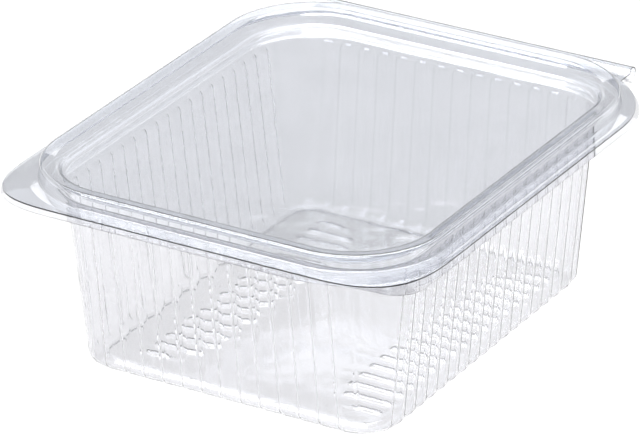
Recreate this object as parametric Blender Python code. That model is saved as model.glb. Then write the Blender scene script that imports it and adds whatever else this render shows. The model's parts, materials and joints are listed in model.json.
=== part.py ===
"""Clear hinged-lid takeaway meal container, thermoformed from one thin plastic sheet.

Two bodies: the tub, with a flange round its mouth, and the lid, which closes on that flange.
A rolled living hinge along the back (+Y) joins them, split here along the hinge axis so that
each body carries its own half. X runs along the hinge, +Z is up, and the origin is under the
middle of the whole object, on the surface that it stands on. All sizes are in metres.
"""
from math import atan2, cos, pi, sin

import bmesh
import bpy

# Plan of the two flanges, measured from the middle of the tub.
LID_HALF_X = 0.0700
LID_HALF_Y = 0.0818
BASE_HALF_X = 0.0709
BASE_HALF_Y = 0.0824
SHEET = 0.00045

# Heights of the outside of the sheet above the table.
LID_FLANGE_TOP = 0.0591
LID_LIP_TOP = 0.0588
BEAD_TOP = 0.0639
BEAD_INNER_TOP = 0.0631
PANEL_TOP = 0.05835
BASE_FLANGE_UNDER = 0.05750
BASE_EDGE_UNDER = 0.05690
FLUTE_TOP = 0.0547
SHOULDER_TOP = 0.0562

# The tub's wall, outside, at its top and where it meets the rounded bottom edge. The tub
# stands on a narrow flat rim inside that edge, and the floor is raised from the rim.
WALL_TOP_X = 0.05715
WALL_TOP_Y = 0.06885
WALL_TOP_RADIUS = 0.0185
BOTTOM_X = 0.0521
BOTTOM_Y = 0.0633
BOTTOM_RADIUS = 0.0110
BOTTOM_EDGE = 0.0035
RIM_WIDTH = 0.0015
RIM_SLOPE = 0.0013
FLOOR_RAISE = 0.0013

# The inner edge of the rim.
RIM_X = BOTTOM_X - BOTTOM_EDGE - RIM_WIDTH
RIM_Y = BOTTOM_Y - BOTTOM_EDGE - RIM_WIDTH
RIM_RADIUS = BOTTOM_RADIUS - BOTTOM_EDGE - RIM_WIDTH

# Flat panels pressed into the wall, which leave narrow upright ribs between them.
PANEL_DEPTH = 0.0008
PANEL_FOOT = 0.0043
PANEL_FLAT = 0.0034
FRONT_PANELS = 12
FRONT_PITCH = 0.00657
SIDE_PANELS = 16
SIDE_PITCH = 0.00619

# Low ridges across the floor, in one band towards each end: (inner end, outer end) in X.
FLOOR_BANDS = [(-0.0175, -0.0360), (0.0260, 0.0450)]
RIDGES = 17
RIDGE_PITCH = 0.00612
RIDGE_WIDTH = 0.0034
RIDGE_HEIGHT = 0.0008

# The rolled hinge: both halves end on the axis, which is the outermost line of the roll.
HINGE_HALF_LENGTH = 0.0540
HINGE_Y = 0.0863
HINGE_Z = 0.0577
HINGE_GAP = 0.00015
HINGE_ROLL_TOP = 0.0603
HINGE_ROLL_BOTTOM = 0.0551
ROLL_REACH = 0.0025
ROLL_STEPS = 5

# The whole object reaches further back than forward, so its parts are shifted to centre it.
SHIFT_Y = (BASE_HALF_Y - HINGE_Y) / 2

# Corner curves: steps in each, and the fullness that makes one a round quarter circle.
CORNER_STEPS = 8
ROUND = 0.5523
BACK_CORNER = 0.034
TAB_INSET = 0.0044
CORNERS = [(1, -1), (1, 1), (-1, 1), (-1, -1)]


def clear_scene():
    for item in list(bpy.data.objects):
        bpy.data.objects.remove(item, do_unlink=True)


def plastic(name, colour):
    material = bpy.data.materials.new(name)
    material.use_nodes = True
    shader = material.node_tree.nodes["Principled BSDF"]
    shader.inputs["Base Color"].default_value = colour
    shader.inputs["Roughness"].default_value = 0.06
    shader.inputs["Transmission Weight"].default_value = 1.0
    shader.inputs["IOR"].default_value = 1.57
    return material


def bezier(start, first, second, end, steps):
    """Points on a cubic curve, without its last one."""
    points = []
    for step in range(steps):
        t = step / steps
        u = 1 - t
        weights = (u ** 3, 3 * u * u * t, 3 * u * t * t, t ** 3)
        points.append(tuple(
            sum(w * p[axis] for w, p in zip(weights, (start, first, second, end)))
            for axis in (0, 1)))
    return points


def corner(half_x, half_y, signs, length, fullness, steps=CORNER_STEPS):
    """One corner of a plan outline, anticlockwise, from one straight side to the next.

    length is how far from the sharp corner the curve starts, and fullness is how far its
    handles reach towards it: 0.55 gives a round corner, and more gives a pointed tab.
    """
    sx, sy = signs
    reach = length * (1 - fullness)
    on_x_side = (sx * half_x, sy * (half_y - length))
    x_handle = (sx * half_x, sy * (half_y - reach))
    on_y_side = (sx * (half_x - length), sy * half_y)
    y_handle = (sx * (half_x - reach), sy * half_y)
    if sx * sy < 0:
        points = bezier(on_y_side, y_handle, x_handle, on_x_side, steps)
        return points + [on_x_side]
    points = bezier(on_x_side, x_handle, y_handle, on_y_side, steps)
    return points + [on_y_side]


def rounded_plan(half_x, half_y, radius, steps=CORNER_STEPS):
    points = []
    for signs in CORNERS:
        points += corner(half_x, half_y, signs, radius, ROUND, steps)
    return points


def square_at_hinge(points, half_y):
    """Runs the back edge straight along the hinge, out to the hinge's two ends."""
    def on_hinge(point):
        return point[1] > 0 and abs(point[0]) < HINGE_HALF_LENGTH

    first = next(index for index, point in enumerate(points) if on_hinge(point))
    kept = [point for point in points if not on_hinge(point)]
    (outside_x, outside_y), (inside_x, inside_y) = points[first - 1], points[first]
    along = (outside_x - HINGE_HALF_LENGTH) / (outside_x - inside_x)
    notch_y = outside_y + along * (inside_y - outside_y)
    back = [(HINGE_HALF_LENGTH, notch_y), (HINGE_HALF_LENGTH, half_y),
            (-HINGE_HALF_LENGTH, half_y), (-HINGE_HALF_LENGTH, notch_y)]
    return kept[:first] + back + kept[first:]


def lid_outline():
    """Rounded at the front right and at the back, with a pointed tab at the front left."""
    points = corner(LID_HALF_X, LID_HALF_Y, (1, -1), 0.030, 0.76)
    points += corner(LID_HALF_X, LID_HALF_Y, (1, 1), BACK_CORNER, ROUND)
    points += corner(LID_HALF_X, LID_HALF_Y, (-1, 1), BACK_CORNER, ROUND)
    points += corner(LID_HALF_X, LID_HALF_Y, (-1, -1), 0.030, 0.87)
    return square_at_hinge(points, LID_HALF_Y)


def base_outline():
    """Shows past the lid at the front right, where its tab is for opening the container."""
    tab_front = BASE_HALF_Y - TAB_INSET
    slant_end = (0.060, -tab_front)
    side_start = (BASE_HALF_X, -0.0660)
    points = bezier((0.034, -BASE_HALF_Y), (0.046, -BASE_HALF_Y), (0.050, -tab_front),
                    slant_end, CORNER_STEPS)
    points += bezier(slant_end, (0.070, -tab_front), (BASE_HALF_X, -0.0755),
                     side_start, CORNER_STEPS)
    points += [side_start]
    points += corner(BASE_HALF_X, BASE_HALF_Y, (1, 1), BACK_CORNER, ROUND)
    points += corner(BASE_HALF_X, BASE_HALF_Y, (-1, 1), BACK_CORNER, ROUND)
    points += corner(BASE_HALF_X, BASE_HALF_Y, (-1, -1), 0.030, 0.83)
    return square_at_hinge(points, BASE_HALF_Y)


def wall_plan(half_x, half_y, radius, depth):
    """The wall's outline at one height, with its panels pressed in by depth."""
    offsets = ((-PANEL_FOOT / 2, 0), (-PANEL_FLAT / 2, depth),
               (PANEL_FLAT / 2, depth), (PANEL_FOOT / 2, 0))
    sides = {
        (1, -1): [(half_x - inward, centre + along)
                  for centre in panel_centres(SIDE_PANELS, SIDE_PITCH)
                  for along, inward in offsets],
        (1, 1): [(-(centre + along), half_y - inward)
                 for centre in panel_centres(FRONT_PANELS, FRONT_PITCH)
                 for along, inward in offsets],
        (-1, 1): [(inward - half_x, -(centre + along))
                  for centre in panel_centres(SIDE_PANELS, SIDE_PITCH)
                  for along, inward in offsets],
        (-1, -1): [(centre + along, inward - half_y)
                   for centre in panel_centres(FRONT_PANELS, FRONT_PITCH)
                   for along, inward in offsets],
    }
    points = []
    for signs in CORNERS:
        points += corner(half_x, half_y, signs, radius, ROUND, 5)
        points += sides[signs]
    return points


def panel_centres(count, pitch):
    return [(index - (count - 1) / 2) * pitch for index in range(count)]


def add_ring(mesh, plan, height):
    """Adds a closed ring of vertices and drops any that repeat the one before."""
    kept = []
    for x, y in plan:
        if not kept or abs(x - kept[-1][0]) + abs(y - kept[-1][1]) > 1e-6:
            kept.append((x, y))
    if abs(kept[0][0] - kept[-1][0]) + abs(kept[0][1] - kept[-1][1]) < 1e-6:
        kept.pop()
    return [mesh.verts.new((x, y, height)) for x, y in kept]


def bridge(mesh, lower, upper):
    """Joins two rings with the same number of vertices by quads."""
    count = len(lower)
    for index in range(count):
        after = (index + 1) % count
        mesh.faces.new((lower[index], lower[after], upper[after], upper[index]))


def stitch(mesh, first, second):
    """Joins two rings that have different numbers of vertices, in order of angle."""
    def start_at_lowest(ring):
        angles = [atan2(vertex.co.y, vertex.co.x) for vertex in ring]
        low = angles.index(min(angles))
        turned = ring[low:] + ring[:low]
        return turned, [angles[(low + index) % len(ring)] for index in range(len(ring))]

    first, first_angles = start_at_lowest(first)
    second, second_angles = start_at_lowest(second)
    first_angles.append(first_angles[0] + 2 * pi)
    second_angles.append(second_angles[0] + 2 * pi)
    i = 0
    j = 0
    while i < len(first) or j < len(second):
        on_first = first[i % len(first)]
        on_second = second[j % len(second)]
        if j == len(second) or (i < len(first) and first_angles[i + 1] <= second_angles[j + 1]):
            mesh.faces.new((on_first, first[(i + 1) % len(first)], on_second))
            i += 1
        else:
            mesh.faces.new((on_first, second[(j + 1) % len(second)], on_second))
            j += 1


def fill_between(mesh, outer, inner):
    """Fills the flat strip between an outline and the ring inside it."""
    bmesh.ops.triangle_fill(mesh, edges=closed_edges(mesh, outer) + closed_edges(mesh, inner),
                            use_beauty=True)


def closed_edges(mesh, ring):
    """The edges of a ring, made where no face has made them yet."""
    edges = []
    for index, vertex in enumerate(ring):
        pair = (vertex, ring[(index + 1) % len(ring)])
        edges.append(mesh.edges.get(pair) or mesh.edges.new(pair))
    return edges


def ridge_ends(inner, outer, row):
    """Where one floor ridge starts and ends: those near the ends of the tub are shorter."""
    along = (row - (RIDGES - 1) / 2) * RIDGE_PITCH
    past = max(0.0, abs(along) - 0.035)
    shorter = min(0.010, past * past * 45)
    return inner + (shorter if outer > inner else -shorter), outer, along


def add_floor(mesh, boundary):
    """The flat floor inside its boundary ring, with low ridges raised from it."""
    edges = closed_edges(mesh, boundary)
    ridge_faces = []
    for inner, outer in FLOOR_BANDS:
        for row in range(RIDGES):
            start, end, along = ridge_ends(inner, outer, row)
            low, high = sorted((start, end))
            feet = [mesh.verts.new((x, along + side * RIDGE_WIDTH / 2, FLOOR_RAISE))
                    for x, side in ((low, -1), (high, -1), (high, 1), (low, 1))]
            slope = RIDGE_WIDTH / 2
            crest = [mesh.verts.new((x, along, FLOOR_RAISE + RIDGE_HEIGHT))
                     for x in (low + slope, high - slope)]
            ridge_faces += [(feet[0], feet[1], crest[1], crest[0]),
                            (feet[2], feet[3], crest[0], crest[1]),
                            (feet[1], feet[2], crest[1]), (feet[3], feet[0], crest[0])]
            for index in range(4):
                edges.append(mesh.edges.new((feet[index], feet[(index + 1) % 4])))
    bmesh.ops.triangle_fill(mesh, edges=edges, use_beauty=True, use_dissolve=False)
    for corners in ridge_faces:
        mesh.faces.new(corners)


def roll_profile(start_y, start_z, extreme_z):
    """(y, z) points of one half of the hinge roll, ending just inside and beside the axis."""
    side = 1 if extreme_z > HINGE_Z else -1
    middle_y = HINGE_Y - ROLL_REACH
    points = [((start_y + middle_y) / 2, start_z + (extreme_z - start_z) * 0.85)]
    for step in range(ROLL_STEPS + 1):
        angle = pi / 2 * step / ROLL_STEPS
        height = HINGE_GAP + (abs(extreme_z - HINGE_Z) - HINGE_GAP) * cos(angle)
        points.append((middle_y + (ROLL_REACH - HINGE_GAP) * sin(angle), HINGE_Z + side * height))
    return points


def add_roll(mesh, ring, profile):
    """Carries the straight back edge of a flange out along a profile."""
    back_y = max(vertex.co.y for vertex in ring)
    row = [vertex for vertex in ring if abs(vertex.co.y - back_y) < 1e-6]
    for y, z in profile:
        after = [mesh.verts.new((vertex.co.x, y, z)) for vertex in row]
        mesh.faces.new((row[0], row[1], after[1], after[0]))
        row = after


def sheet_object(name, mesh_data, material, middle_faces_up):
    """Gives a surface its thickness on its inner side, the one away from its normals."""
    bmesh.ops.recalc_face_normals(mesh_data, faces=mesh_data.faces)
    middle = min(mesh_data.faces, key=lambda face: face.calc_center_median().xy.length)
    if (middle.normal.z > 0) != middle_faces_up:
        bmesh.ops.reverse_faces(mesh_data, faces=mesh_data.faces)
    mesh = bpy.data.meshes.new(name)
    mesh_data.to_mesh(mesh)
    mesh_data.free()
    mesh.shade_smooth()
    mesh.set_sharp_from_angle(angle=0.6)
    mesh.materials.append(material)
    item = bpy.data.objects.new(name, mesh)
    bpy.context.collection.objects.link(item)
    thickness = item.modifiers.new("Sheet thickness", "SOLIDIFY")
    thickness.thickness = SHEET
    thickness.offset = -1
    thickness.use_even_offset = False
    item.location.y = SHIFT_Y
    return item


def build_tub():
    """Flange, mouth, ribbed wall and ridged floor, as one surface: the outside of the tub."""
    mesh = bmesh.new()
    edge = add_ring(mesh, base_outline(), BASE_EDGE_UNDER)
    coarse = [
        (WALL_TOP_X + 0.0105, WALL_TOP_Y + 0.0105, 0.0280, BASE_FLANGE_UNDER),
        (WALL_TOP_X + 0.0027, WALL_TOP_Y + 0.0027, 0.0215, BASE_FLANGE_UNDER),
        (WALL_TOP_X + 0.0022, WALL_TOP_Y + 0.0022, 0.0210, SHOULDER_TOP),
        (WALL_TOP_X + 0.0003, WALL_TOP_Y + 0.0003, 0.0193, SHOULDER_TOP - 0.0006),
    ]
    rings = [add_ring(mesh, rounded_plan(x, y, radius), z) for x, y, radius, z in coarse]
    fill_between(mesh, edge, rings[0])
    for outer, inner in zip(rings, rings[1:]):
        bridge(mesh, outer, inner)

    fine = [
        (WALL_TOP_X, WALL_TOP_Y, WALL_TOP_RADIUS, 0, FLUTE_TOP),
        (WALL_TOP_X - 0.0002, WALL_TOP_Y - 0.0002, WALL_TOP_RADIUS, PANEL_DEPTH, FLUTE_TOP - 0.0016),
        (BOTTOM_X, BOTTOM_Y, BOTTOM_RADIUS, PANEL_DEPTH, BOTTOM_EDGE),
        (BOTTOM_X - 0.0009, BOTTOM_Y - 0.0009, BOTTOM_RADIUS - 0.0009, PANEL_DEPTH, 0.0010),
        (BOTTOM_X - BOTTOM_EDGE, BOTTOM_Y - BOTTOM_EDGE, BOTTOM_RADIUS - BOTTOM_EDGE, 0, 0),
        (RIM_X, RIM_Y, RIM_RADIUS, 0, 0),
        (RIM_X - RIM_SLOPE, RIM_Y - RIM_SLOPE, RIM_RADIUS - RIM_SLOPE, 0, FLOOR_RAISE),
    ]
    walls = [add_ring(mesh, wall_plan(x, y, radius, depth), z) for x, y, radius, depth, z in fine]
    stitch(mesh, rings[-1], walls[0])
    for upper, lower in zip(walls, walls[1:]):
        bridge(mesh, upper, lower)
    add_floor(mesh, walls[-1])
    add_roll(mesh, edge, roll_profile(BASE_HALF_Y, BASE_EDGE_UNDER, HINGE_ROLL_BOTTOM))
    return sheet_object("tub", mesh, plastic("clear_tub", (0.93, 0.95, 0.97, 1)), False)


def build_lid():
    """Flange with a low step, a raised bead that slopes a little inwards, and a sunk panel."""
    mesh = bmesh.new()
    edge = add_ring(mesh, lid_outline(), LID_LIP_TOP)
    # How far each line of the lid's section is from the flange's edge, and its height.
    section = [
        (0.0014, LID_LIP_TOP),
        (0.0019, LID_FLANGE_TOP),
        (0.0043, LID_FLANGE_TOP),
        (0.0048, BEAD_TOP - 0.0012),
        (0.0051, BEAD_TOP - 0.0003),
        (0.0058, BEAD_TOP),
        (0.0092, BEAD_INNER_TOP + 0.0002),
        (0.0105, BEAD_INNER_TOP - 0.0004),
        (0.0110, BEAD_INNER_TOP - 0.0014),
        (0.0114, LID_LIP_TOP + 0.0003),
        (0.0122, PANEL_TOP),
    ]
    rings = []
    for inset, height in section:
        plan = rounded_plan(LID_HALF_X - inset, LID_HALF_Y - inset, 0.0335 - inset)
        rings.append(add_ring(mesh, plan, height))
    fill_between(mesh, edge, rings[0])
    for outer, inner in zip(rings, rings[1:]):
        bridge(mesh, outer, inner)
    bmesh.ops.triangle_fill(mesh, edges=closed_edges(mesh, rings[-1]), use_beauty=True)
    add_roll(mesh, edge, roll_profile(LID_HALF_Y, LID_LIP_TOP, HINGE_ROLL_TOP))
    return sheet_object("lid", mesh, plastic("clear_lid", (0.91, 0.94, 0.97, 1)), True)


clear_scene()
build_tub()
build_lid()
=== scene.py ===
import json
from math import asin, cos, hypot, pi, radians, sin, sqrt

import bmesh
import bpy
from mathutils import Matrix, Vector


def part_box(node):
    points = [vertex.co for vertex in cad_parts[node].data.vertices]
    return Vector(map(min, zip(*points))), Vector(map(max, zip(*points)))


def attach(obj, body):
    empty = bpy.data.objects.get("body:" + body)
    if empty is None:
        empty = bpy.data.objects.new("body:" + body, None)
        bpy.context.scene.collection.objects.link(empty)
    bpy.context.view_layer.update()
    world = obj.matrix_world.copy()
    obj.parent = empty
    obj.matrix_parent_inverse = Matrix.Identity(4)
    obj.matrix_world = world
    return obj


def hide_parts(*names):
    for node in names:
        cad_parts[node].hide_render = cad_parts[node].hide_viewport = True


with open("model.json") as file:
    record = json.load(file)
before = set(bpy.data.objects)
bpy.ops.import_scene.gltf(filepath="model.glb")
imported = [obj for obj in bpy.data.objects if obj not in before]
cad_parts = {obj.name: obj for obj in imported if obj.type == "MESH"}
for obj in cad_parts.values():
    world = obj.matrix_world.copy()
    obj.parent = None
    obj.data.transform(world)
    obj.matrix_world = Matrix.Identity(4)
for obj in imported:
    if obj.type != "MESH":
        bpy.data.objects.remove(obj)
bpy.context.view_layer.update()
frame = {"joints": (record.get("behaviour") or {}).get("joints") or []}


# ---- The lid ----
# A flange with a pointed corner at the front left, a raised bead and a sunk flat panel.
# It is clear PET sheet, vacuum formed over a mould in one piece with the tub, and joined to
# it by the rolled hinge along its back edge.

SHEET = 0.00043
LID_HALF_X = 0.0700
LID_HALF_Y = 0.0818
LID_LIP_Z = 0.0588
LID_CORNER = 0.0335
LID_LIP_WIDTH = 0.0011
BACK_CORNER = 0.034
HINGE_END_X = 0.0535
MIDDLE_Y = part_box("tub")[0].y + 0.0824
HINGE_AXIS_Y = frame["joints"][0]["pos_m"][1]
HINGE_AXIS_Z = frame["joints"][0]["pos_m"][2]
ROLL_REACH = 0.0025
ROLL_TOP = 0.0603
ROLL_STEPS = 12
HINGE_GAP = 0.00016


def add_plate(name, half_x, half_y, height):
    """A flat rectangle round the middle of the flanges."""
    bpy.ops.object.select_all(action="DESELECT")
    bpy.ops.mesh.primitive_plane_add(size=2, location=(0, MIDDLE_Y, height))
    plate = bpy.context.object
    plate.name = plate.data.name = name
    plate.scale = (half_x, half_y, 1)
    bpy.ops.object.transform_apply(location=True, rotation=True, scale=True)
    bpy.ops.object.mode_set(mode="EDIT")
    return plate


def pick(piece, kind, test):
    """In edit mode, selects only the verts, edges or faces whose every point passes the test."""
    modes = ("verts", "edges", "faces")
    bpy.context.tool_settings.mesh_select_mode = [kind == mode for mode in modes]
    mesh = bmesh.from_edit_mesh(piece.data)
    for elements in (mesh.faces, mesh.edges, mesh.verts):
        for element in elements:
            element.select_set(False)
    for element in getattr(mesh, kind):
        points = [element.co] if kind == "verts" else [vert.co for vert in element.verts]
        if all(test(point) for point in points):
            element.select_set(True)
    mesh.select_flush_mode()
    bmesh.update_edit_mesh(piece.data)


def near(value, target, within=0.00003):
    return abs(value - target) < within


def round_corner(piece, right, back, length, steps, fullness=0.5):
    """Rounds one corner of a flat plate. 0.5 is a round corner, and more is a pointed one."""
    pick(piece, "verts", lambda p: (p.x > 0) == right and (p.y > MIDDLE_Y) == back
         and abs(p.x) > 0.06 and abs(p.y - MIDDLE_Y) > 0.07)
    bpy.ops.mesh.bevel(offset_type="OFFSET", offset=length, segments=steps,
                       profile=fullness, affect="VERTICES")


def square_back(piece, cut_y, back_y):
    """Cuts the rounded back at the hinge's ends and runs it straight along the hinge."""
    pick(piece, "verts", lambda p: p.y > cut_y and abs(p.x) < HINGE_END_X)
    bpy.ops.mesh.delete(type="VERT")
    left = bmesh.from_edit_mesh(piece.data).verts
    end_x = min(abs(vert.co.x) for vert in left if vert.co.y > cut_y - 0.002)
    pick(piece, "verts", lambda p: near(abs(p.x), end_x) and p.y > 0)
    bpy.ops.mesh.extrude_region_move(TRANSFORM_OT_translate={"value": (0, 0.004, 0)})
    mesh = bmesh.from_edit_mesh(piece.data)
    ends = [v for v in mesh.verts if v.select]
    for vert in ends:
        vert.co.y = back_y
    bmesh.update_edit_mesh(piece.data)
    bpy.ops.mesh.edge_face_add()


def roll_out(piece, back_y, start_z, extreme_z):
    """Extrudes the straight back edge round its half of the hinge roll, up to the axis."""
    pick(piece, "edges", lambda p: near(p.y, back_y))
    middle_y = HINGE_AXIS_Y - ROLL_REACH
    side = 1 if extreme_z > HINGE_AXIS_Z else -1
    tall = abs(extreme_z - HINGE_AXIS_Z) - HINGE_GAP
    path = [(back_y, start_z), ((back_y + middle_y) / 2, start_z + (extreme_z - start_z) * 0.82)]
    for step in range(ROLL_STEPS + 1):
        angle = pi / 2 * step / ROLL_STEPS
        path.append((middle_y + (ROLL_REACH - HINGE_GAP) * sin(angle),
                     HINGE_AXIS_Z + side * (HINGE_GAP + tall * cos(angle))))
    for (y0, z0), (y1, z1) in zip(path, path[1:]):
        bpy.ops.mesh.extrude_region_move(TRANSFORM_OT_translate={"value": (0, y1 - y0, z1 - z0)})


def lid_inset(point):
    """How far inside the lid's edge a point is, seen from above."""
    across = abs(point.x) - (LID_HALF_X - LID_CORNER)
    along = abs(point.y - MIDDLE_Y) - (LID_HALF_Y - LID_CORNER)
    return LID_CORNER - hypot(max(across, 0), max(along, 0)) - min(max(across, along), 0)


def join_to(piece, other):
    """Puts other's mesh into piece, and starts editing the result."""
    bpy.ops.object.mode_set(mode="OBJECT")
    bpy.ops.object.select_all(action="DESELECT")
    other.select_set(True)
    piece.select_set(True)
    bpy.context.view_layer.objects.active = piece
    bpy.ops.object.join()
    bpy.ops.object.mode_set(mode="EDIT")


def finish_sheet(piece, smooth_angle, middle_up, edge_share):
    """Gives a formed surface its thickness on the inner side, less at the cut edge, and smooth
    shading."""
    bpy.ops.mesh.select_all(action="SELECT")
    bpy.ops.mesh.remove_doubles(threshold=0.000004)
    bpy.ops.object.vertex_group_add()
    bpy.ops.object.vertex_group_assign()
    bpy.ops.mesh.select_all(action="DESELECT")
    bpy.context.tool_settings.mesh_select_mode = (False, True, False)
    bpy.ops.mesh.select_non_manifold(extend=False, use_wire=False, use_boundary=True,
                                     use_multi_face=False, use_non_contiguous=False, use_verts=False)
    bpy.ops.object.vertex_group_remove_from()
    bpy.ops.mesh.select_all(action="SELECT")
    bpy.ops.mesh.normals_make_consistent(inside=False)
    mesh = bmesh.from_edit_mesh(piece.data)
    centre = Vector((0, MIDDLE_Y, 0))
    middle = min(mesh.faces, key=lambda face: (face.calc_center_median() - centre).xy.length)
    if (middle.normal.z > 0) != middle_up:
        bpy.ops.mesh.flip_normals()
    bpy.ops.object.mode_set(mode="OBJECT")
    wall = piece.modifiers.new("Sheet", "SOLIDIFY")
    wall.thickness = SHEET
    wall.offset = -1
    wall.use_even_offset = False
    wall.vertex_group = piece.vertex_groups[0].name
    wall.thickness_vertex_group = edge_share
    bpy.ops.object.modifier_apply(modifier=wall.name)
    piece.vertex_groups.clear()
    bpy.ops.object.shade_smooth_by_angle(angle=radians(smooth_angle))
    flats = piece.modifiers.new("Flats", "WEIGHTED_NORMAL")
    flats.keep_sharp = True
    flats.weight = 80
    bpy.ops.object.modifier_apply(modifier=flats.name)


lid = add_plate("lid_shell", LID_HALF_X - LID_LIP_WIDTH, LID_HALF_Y - LID_LIP_WIDTH, LID_LIP_Z)
for right in (True, False):
    for back in (True, False):
        round_corner(lid, right, back, LID_CORNER - LID_LIP_WIDTH, 28)
pick(lid, "faces", lambda p: True)
# Each step in from the flange: the width of the strip, and how much higher its inner edge is.
# They are the rest of the lip, the flange, the bead's outer wall, its top and its inner wall.
for width, rise in ((0.0003, 0), (0.0029, 0.0003), (0.0005, 0.0048),
                    (0.0063, -0.00095), (0.0005, -0.0046)):
    bpy.ops.mesh.inset(thickness=width, depth=rise, use_even_offset=True)
# Where each fold of the section is, its radius, and the steps that round it.
for inset, radius, steps in ((0.0048, 0.0012, 8), (0.0111, 0.0024, 10),
                             (0.0043, 0.0005, 4), (0.0116, 0.0009, 5)):
    pick(lid, "edges", lambda p: near(lid_inset(p), inset))
    bpy.ops.mesh.bevel(offset=radius, segments=steps, profile=0.5, affect="EDGES")
bpy.ops.object.mode_set(mode="OBJECT")

# The lid's own outline, pointed at the front left, and the lip between it and the flange.
lid_edge = add_plate("lid_edge", LID_HALF_X, LID_HALF_Y, LID_LIP_Z)
round_corner(lid_edge, True, True, BACK_CORNER, 28)
round_corner(lid_edge, False, True, BACK_CORNER, 28)
round_corner(lid_edge, True, False, 0.030, 20, 0.616)
round_corner(lid_edge, False, False, 0.030, 20, 0.683)
square_back(lid_edge, MIDDLE_Y + 0.0767, MIDDLE_Y + LID_HALF_Y)

join_to(lid, lid_edge)
bpy.context.tool_settings.mesh_select_mode = (False, True, False)
bpy.ops.mesh.select_all(action="DESELECT")
bpy.ops.mesh.select_non_manifold(extend=False, use_wire=True, use_boundary=True,
                                 use_multi_face=False, use_non_contiguous=False, use_verts=False)
bpy.ops.mesh.fill(use_beauty=True)
roll_out(lid, MIDDLE_Y + LID_HALF_Y, LID_LIP_Z, ROLL_TOP)
finish_sheet(lid, 30, True, 1.0)


def linear(code):
    """A Blender colour from an sRGB hex value."""
    channels = [int(code[i:i + 2], 16) / 255 for i in (1, 3, 5)]
    return [c / 12.92 if c <= 0.04045 else ((c + 0.055) / 1.055) ** 2.4 for c in channels] + [1]


def add_node(material, kind, settings=None, links=None):
    """Adds a node, sets its properties and plain inputs, and links its inputs to sockets."""
    node = material.node_tree.nodes.new(kind)
    for name, value in (settings or {}).items():
        if isinstance(name, str) and hasattr(node, name):
            setattr(node, name, value)
        else:
            node.inputs[name].default_value = value
    for name, socket in (links or {}).items():
        material.node_tree.links.new(socket, node.inputs[name])
    return node


def clear_pet(name, thick, thin):
    """Vacuum-formed clear PET: glass-like and glossy, a little grey where the sheet is thick,
    with the faint long waves of stretched sheet. Lamps shine through it to what it holds."""
    material = bpy.data.materials.new(name)
    material.use_nodes = True
    nodes = material.node_tree.nodes
    nodes.clear()
    place = add_node(material, "ShaderNodeTexCoord")
    drawn = add_node(material, "ShaderNodeTexNoise", {"Scale": 60.0, "Detail": 2.0},
                     {"Vector": place.outputs["Object"]})
    tint = add_node(material, "ShaderNodeMix", {"data_type": "RGBA", 6: linear(thick), 7: linear(thin)},
                    {0: drawn.outputs["Fac"]})
    gloss = add_node(material, "ShaderNodeMapRange", {"To Min": 0.01, "To Max": 0.05},
                     {"Value": drawn.outputs["Fac"]})
    wave = add_node(material, "ShaderNodeTexNoise", {"Scale": 95.0, "Detail": 1.0},
                    {"Vector": place.outputs["Object"]})
    bump = add_node(material, "ShaderNodeBump", {"Strength": 0.12, "Distance": 0.0004},
                    {"Height": wave.outputs["Fac"]})
    sheet = add_node(material, "ShaderNodeBsdfPrincipled",
                     {"IOR": 1.57, "Transmission Weight": 1.0},
                     {"Base Color": tint.outputs[2], "Roughness": gloss.outputs["Result"],
                      "Normal": bump.outputs["Normal"]})
    through = add_node(material, "ShaderNodeBsdfTransparent", {"Color": linear("#FEFEFE")})
    ray = add_node(material, "ShaderNodeLightPath")
    lamps = add_node(material, "ShaderNodeMixShader", None,
                     {0: ray.outputs["Is Shadow Ray"], 1: sheet.outputs[0], 2: through.outputs[0]})
    bounced = add_node(material, "ShaderNodeMixShader", None,
                       {0: ray.outputs["Is Diffuse Ray"], 1: lamps.outputs[0], 2: through.outputs[0]})
    add_node(material, "ShaderNodeOutputMaterial", None, {"Surface": bounced.outputs[0]})
    return material


def put_on(piece, material, body, node):
    """Gives a finished sheet its material, and lets it stand for its solid."""
    piece.data.materials.clear()
    piece.data.materials.append(material)
    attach(piece, body)
    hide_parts(node)


put_on(lid, clear_pet("thermoformed_PET_lid", "#E8EAEE", "#EEF0F4"), "cover", "lid")


# ---- The tub ----
# The same sheet, formed into a flange with an opening tab at the front right, a stepped
# mouth, leaning walls stiffened by narrow ribs between pressed-in panels, and a flat floor
# with two bands of low ridges.

BASE_HALF_X = 0.0709
BASE_HALF_Y = 0.0824
BASE_EDGE_Z = 0.0569
BASE_FLANGE_Z = 0.0575
BASE_FLANGE_SLOPE = 0.0050
TAB_FRONT = 0.0780
TAB_SLANT = (0.0405, 0.0535)
ROLL_BOTTOM = 0.0551
# The wall's top and foot: half its width, half its length, its corners' radius, its height.
WALL_TOP = (0.05715, 0.06885, 0.0185, 0.0547)
WALL_FOOT = (0.0521, 0.0633, 0.0125, 0.0035)
BOTTOM_EDGE = 0.0035
RIM_WIDTH = 0.0015
FLOOR_RAISE = 0.0013
RIB_HALF = 0.0005
FLANK = 0.0015
PRESS = 0.0006
FRONT_PITCH = 0.00657
SIDE_PITCH = 0.00619
FRONT_PANELS = 14
SIDE_PANELS = 18
ARCH_TOP = 0.0544
ARCH_BLEND = 0.0011
FOOT_BLEND = 0.0016


def smooth(t):
    t = min(max(t, 0.0), 1.0)
    return t * t * (3 - 2 * t)


def panel_press(along, pitch, panels, height):
    """How far the wall is pressed in at a place along it, and at a height."""
    if abs(along) > panels / 2 * pitch:
        return 0.0
    from_middle = abs((along + panels / 2 * pitch) % pitch - pitch / 2)
    half = pitch / 2 - RIB_HALF
    across = smooth((half - from_middle) / FLANK)
    round_top = half - sqrt(max(half * half - min(from_middle, half) ** 2, 0))
    top = smooth((ARCH_TOP - round_top - height) / ARCH_BLEND)
    foot = smooth(height / FOOT_BLEND)
    return PRESS * across * top * foot


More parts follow.
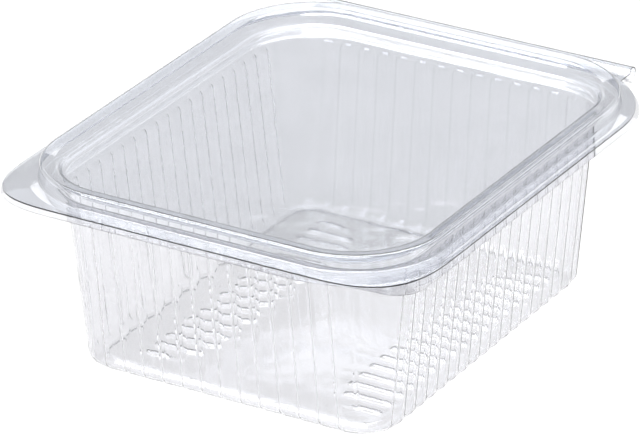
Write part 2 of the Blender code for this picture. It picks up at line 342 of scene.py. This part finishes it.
def side_places(pitch, panels, end):
    """Places along one wall: close together on each rib's flanks, and wider apart elsewhere."""
    steps = (0, 0.0005, 0.00085, 0.00125, 0.0016, 0.0020)
    places = {round(end, 7), round(-end, 7)}
    for rib in range(panels + 1):
        centre = (rib - panels / 2) * pitch
        for step in steps:
            for sign in (-1, 1):
                place = centre + sign * step
                if abs(place) < end - 0.0003:
                    places.add(round(place, 7))
        middle = centre + pitch / 2
        if abs(middle) < end:
            places.add(round(middle, 7))
    return sorted(places)


CORNER_STEPS = 12
FRONT_END = 0.0472
SIDE_END = 0.0568
front_places = side_places(FRONT_PITCH, FRONT_PANELS, FRONT_END)
wall_places = side_places(SIDE_PITCH, SIDE_PANELS, SIDE_END)


def on_wall(along, half_along, half_out, radius, inward):
    """A point of one wall: its place along the wall, and out from the tub's middle."""
    past = abs(along) - (half_along - radius)
    if past <= 0:
        return along, half_out - inward
    drop = sqrt(radius * radius - past * past)
    moved = abs(along) - inward * past / radius
    return (moved if along > 0 else -moved), half_out - radius + drop - inward * drop / radius


def tub_ring(half_x, half_y, radius, height, inset, pressed):
    """All the points round the tub at one height, anticlockwise from the front left."""
    def front(along):
        press = panel_press(along, FRONT_PITCH, FRONT_PANELS, height) if pressed else 0
        x, y = on_wall(along, half_x, half_y, radius, inset + press)
        return x, -y

    def side(along):
        press = panel_press(along, SIDE_PITCH, SIDE_PANELS, height) if pressed else 0
        y, x = on_wall(along, half_y, half_x, radius, inset + press)
        return x, y

    centre_x, centre_y = half_x - radius, half_y - radius
    start = asin((FRONT_END - centre_x) / radius)
    stop = pi / 2 - asin((SIDE_END - centre_y) / radius)
    turns = [start + (stop - start) * step / CORNER_STEPS for step in range(1, CORNER_STEPS)]
    corner = [(centre_x + (radius - inset) * sin(turn), -centre_y - (radius - inset) * cos(turn))
              for turn in turns]
    ring = [front(x) for x in front_places]
    ring += corner
    ring += [side(y) for y in wall_places]
    ring += [(x, -y) for x, y in reversed(corner)]
    ring += [(x, -y) for x, y in (front(place) for place in reversed(front_places))]
    ring += [(-x, -y) for x, y in corner]
    ring += [(-x, y) for x, y in (side(place) for place in reversed(wall_places))]
    ring += [(-x, y) for x, y in reversed(corner)]
    return [(x, y + MIDDLE_Y, height) for x, y in ring]


def between(low, high, share):
    return tuple(a + (b - a) * share for a, b in zip(low, high))


rings = []
# The flange's inside and the stepped mouth, outside of the sheet: how far out from the wall's
# top, and the height.
for out, height in ((0.0062, 0.05750), (0.0040, 0.05750), (0.0032, 0.05740),
                    (0.0027, 0.05712), (0.0023, 0.05672), (0.0019, 0.05640),
                    (0.0013, 0.05618), (0.0007, 0.05590), (0.0002, 0.05540)):
    rings.append(tub_ring(*WALL_TOP[:3], height, -out, False))
heights = [0.0547 - 0.00036 * k for k in range(11)] + [0.0499, 0.0430, 0.0300, 0.0180, 0.0090, 0.0050]
for height in heights:
    share = (height - WALL_FOOT[3]) / (WALL_TOP[3] - WALL_FOOT[3])
    half_x, half_y, radius, _ = between(WALL_FOOT, WALL_TOP, share)
    rings.append(tub_ring(half_x, half_y, radius, height, 0, True))
# The rounded bottom edge, from the wall in to the floor.
for step in range(11):
    turn = pi / 2 * step / 10
    rings.append(tub_ring(*WALL_FOOT[:3], WALL_FOOT[3] * (1 - sin(turn)),
                          BOTTOM_EDGE * (1 - cos(turn)), True))
# The narrow rim that the tub stands on, and the step up from it to the floor.
for inset, height in ((0.0000, 0), (0.0003, 0.0001), (0.0006, 0.00035), (0.0010, 0.00095),
                      (0.0013, 0.0012), (0.0017, FLOOR_RAISE)):
    rings.append(tub_ring(*WALL_FOOT[:3], height, BOTTOM_EDGE + RIM_WIDTH + inset - 0.0002, False))

count = len(rings[0])
points = [point for ring in rings for point in ring]
quads = [(r * count + c, r * count + (c + 1) % count,
          (r + 1) * count + (c + 1) % count, (r + 1) * count + c)
         for r in range(len(rings) - 1) for c in range(count)]
walls_mesh = bpy.data.meshes.new("tub_walls")
walls_mesh.from_pydata(points, [], quads)
walls = bpy.data.objects.new("tub_walls", walls_mesh)
bpy.context.collection.objects.link(walls)

# The floor: a fine grid whose ridges are raised by their own rounded section.
FLOOR_BANDS = ((-0.0360, -0.0175), (0.0260, 0.0448))
RIDGE_PITCH = 0.00612
RIDGE_HALF = 0.0017
RIDGE_RISE = 0.0008
RIDGES = 17


def floor_rise(x, y):
    """How high the floor's sheet is at a place: its ridges, on a floor that domes a little."""
    dome = 0.0006 * (1 - smooth(abs(x) / 0.044)) * (1 - smooth(abs(y) / 0.055))
    row = round(y / RIDGE_PITCH)
    if abs(row) > RIDGES // 2:
        return dome
    from_crest = abs(y - row * RIDGE_PITCH)
    past = max(0.0, abs(row * RIDGE_PITCH) - 0.035)
    shorter = min(0.010, past * past * 45)
    for low, high in FLOOR_BANDS:
        start, end = (low, high - shorter) if low < 0 else (low + shorter, high)
        from_end = min(x - start, end - x)
        if from_end > 0:
            end_round = smooth(from_end / 0.0017)
            return dome + RIDGE_RISE * end_round * (1 - smooth(from_crest / RIDGE_HALF))
    return dome


def floor_columns():
    places = {-0.0447, -0.0451, 0.0451}
    for low, high in FLOOR_BANDS:
        for step in (0, 0.0006, 0.0012, 0.0018, 0.0026):
            places |= {low + step, high - step}
        span = high - low
        places |= {low + span * k / 8 for k in range(2, 7)}
    places |= {-0.041, -0.012, -0.006, 0.0, 0.006, 0.012, 0.019}
    return sorted(places)


def floor_rows():
    places = {-0.0559, 0.0559}
    for row in range(-(RIDGES // 2), RIDGES // 2 + 1):
        for step in (0, 0.0003, 0.0006, 0.0009, 0.0012, 0.00145, 0.0018):
            places |= {row * RIDGE_PITCH + step, row * RIDGE_PITCH - step}
        places.add((row + 0.5) * RIDGE_PITCH)
    return sorted(place for place in places if abs(place) <= 0.0559)


columns, rows = floor_columns(), floor_rows()


def in_floor(x, y):
    """True inside the flat floor, whose corners are round."""
    across, along = abs(x) - 0.0400, abs(y) - 0.0508
    return hypot(max(across, 0), max(along, 0)) < 0.0052


floor_points = [(x, y + MIDDLE_Y, FLOOR_RAISE + floor_rise(x, y)) for y in rows for x in columns]
wide = len(columns)
floor_quads = []
for r in range(len(rows) - 1):
    for c in range(wide - 1):
        corners = [(columns[c], rows[r]), (columns[c + 1], rows[r]),
                   (columns[c + 1], rows[r + 1]), (columns[c], rows[r + 1])]
        if all(in_floor(*corner) for corner in corners):
            first = r * wide + c
            floor_quads.append((first, first + 1, first + 1 + wide, first + wide))
floor_mesh = bpy.data.meshes.new("tub_floor")
floor_mesh.from_pydata(floor_points, [], floor_quads)
tub_floor = bpy.data.objects.new("tub_floor", floor_mesh)
bpy.context.collection.objects.link(tub_floor)

# The flange: its front edge steps back at the right, round the opening tab.
tub = add_plate("tub_shell", BASE_HALF_X, BASE_HALF_Y, BASE_EDGE_Z)
pick(tub, "edges", lambda p: p.y < MIDDLE_Y)
bpy.ops.mesh.subdivide(number_cuts=2)
mesh = bmesh.from_edit_mesh(tub.data)
added = sorted((v for v in mesh.verts if v.co.y < MIDDLE_Y and abs(v.co.x) < 0.06),
               key=lambda v: v.co.x)
added[0].co = (TAB_SLANT[0], MIDDLE_Y - BASE_HALF_Y, BASE_EDGE_Z)
added[1].co = (TAB_SLANT[1], MIDDLE_Y - TAB_FRONT, BASE_EDGE_Z)
for vert in mesh.verts:
    if vert.co.x > BASE_HALF_X - 0.0001 and vert.co.y < MIDDLE_Y:
        vert.co.y = MIDDLE_Y - TAB_FRONT
bmesh.update_edit_mesh(tub.data)
for place in TAB_SLANT:
    pick(tub, "verts", lambda p: near(p.x, place) and p.y < MIDDLE_Y)
    bpy.ops.mesh.bevel(offset_type="OFFSET", offset=0.0062, segments=8, profile=0.5,
                       affect="VERTICES")
round_corner(tub, True, False, 0.0112, 14, 0.56)
round_corner(tub, False, False, 0.030, 20, 0.658)
round_corner(tub, True, True, BACK_CORNER, 24)
round_corner(tub, False, True, BACK_CORNER, 24)
square_back(tub, MIDDLE_Y + 0.0779, MIDDLE_Y + BASE_HALF_Y)
bpy.ops.mesh.select_all(action="SELECT")
bpy.ops.mesh.edge_face_add()
pick(tub, "faces", lambda p: True)
bpy.ops.mesh.inset(thickness=BASE_FLANGE_SLOPE, depth=0, use_even_offset=True)
bpy.ops.transform.translate(value=(0, 0, BASE_FLANGE_Z - BASE_EDGE_Z))
bpy.ops.mesh.delete(type="ONLY_FACE")

# The walls and the floor join on, and flat faces fill the gaps between.
join_to(tub, walls)
bpy.context.tool_settings.mesh_select_mode = (False, True, False)
bpy.ops.mesh.select_all(action="DESELECT")
mesh = bmesh.from_edit_mesh(tub.data)
for edge in mesh.edges:
    if len(edge.link_faces) == 1 and all(near(v.co.z, BASE_FLANGE_Z, 0.000005) for v in edge.verts):
        edge.select_set(True)
bmesh.update_edit_mesh(tub.data)
bpy.ops.mesh.fill(use_beauty=True)

join_to(tub, tub_floor)
mesh = bmesh.from_edit_mesh(tub.data)
bmesh.ops.delete(mesh, geom=[v for v in mesh.verts if not v.link_faces], context="VERTS")
bpy.ops.mesh.select_all(action="DESELECT")
for edge in mesh.edges:
    if len(edge.link_faces) == 1 and all(v.co.z < 0.004 for v in edge.verts):
        edge.select_set(True)
bmesh.update_edit_mesh(tub.data)
bpy.ops.mesh.fill(use_beauty=True)
roll_out(tub, MIDDLE_Y + BASE_HALF_Y, BASE_EDGE_Z, ROLL_BOTTOM)
finish_sheet(tub, 34, False, 0.25)
put_on(tub, clear_pet("thermoformed_PET_tub", "#EEEEF0", "#F3F3F5"), "base", "tub")


# ---- The studio ----
# A plain white table under soft white light.

bpy.ops.object.select_all(action="DESELECT")
bpy.ops.mesh.primitive_plane_add(size=12, location=(0, 0, -0.00005))
table = bpy.context.object
table.name = "table"
paper = bpy.data.materials.new("white_table")
paper.use_nodes = True
paper.node_tree.nodes["Principled BSDF"].inputs["Base Color"].default_value = linear("#F5F5F5")
paper.node_tree.nodes["Principled BSDF"].inputs["Roughness"].default_value = 0.9
paper.node_tree.nodes["Principled BSDF"].inputs["Specular IOR Level"].default_value = 0.0
table.data.materials.append(paper)


def soft_light(name, place, size, power, aim=(0, 0, 0.03)):
    lamp = bpy.data.lights.new(name, "AREA")
    lamp.shape = "RECTANGLE"
    lamp.size, lamp.size_y = size
    lamp.energy = power
    light = bpy.data.objects.new(name, lamp)
    bpy.context.collection.objects.link(light)
    light.location = place
    light.rotation_euler = (Vector(aim) - Vector(place)).to_track_quat("-Z", "Y").to_euler()
    return light


soft_light("overhead_softbox", (-0.3, 0.5, 2.0), (2.0, 1.6), 62)
# White cards that only show as reflections in the plastic: one over the front, for the bright
# front fold of the bead, and two behind, for the slopes that lean towards the camera.
for name, place, size, power in (("front_card", (0.0, -0.70, 0.80), (1.4, 0.5), 18.0),
                                 ("back_card", (-0.80, 1.22, 1.10), (1.1, 0.5), 2.9),
                                 ("low_back_card", (-0.95, 1.30, 0.33), (1.6, 0.36), 0.9)):
    card = soft_light(name, place, size, power, (0, -0.05, 0.06))
    card.visible_camera = card.visible_diffuse = False

world = bpy.data.worlds.new("studio")
world.use_nodes = True
world.node_tree.nodes["Background"].inputs["Color"].default_value = linear("#E4E6EA")
world.node_tree.nodes["Background"].inputs["Strength"].default_value = 0.22
bpy.context.scene.world = world

# The camera looks down at the near corner from a little right of the front.
azimuth, elevation, roll = radians(31.34), radians(25.84), radians(-0.83)
distance, focal, shift_x, shift_y = 1.628, 5485.0, -0.0047, 0.0282
back = Vector((sin(azimuth) * cos(elevation), -cos(azimuth) * cos(elevation), sin(elevation)))
level_x = Vector((0, 0, 1)).cross(back).normalized()
level_y = back.cross(level_x)
right = level_x * cos(roll) + level_y * sin(roll)
up = level_y * cos(roll) - level_x * sin(roll)
eye = bpy.data.objects.new("camera", bpy.data.cameras.new("camera"))
bpy.context.collection.objects.link(eye)
eye.matrix_world = Matrix((
    (right.x, up.x, back.x, 0), (right.y, up.y, back.y, 0), (right.z, up.z, back.z, 0), (0, 0, 0, 1)))
eye.location = right * shift_x + up * shift_y + back * distance + Vector((0, MIDDLE_Y, 0.0013))
eye.data.sensor_width = 36
eye.data.lens = 36 * focal / 640
eye.data.clip_start, eye.data.clip_end = 0.1, 20
scene = bpy.context.scene
scene.camera = eye
scene.view_settings.view_transform = "Standard"
scene.cycles.max_bounces = 32
scene.cycles.transmission_bounces = 32
scene.cycles.transparent_max_bounces = 32
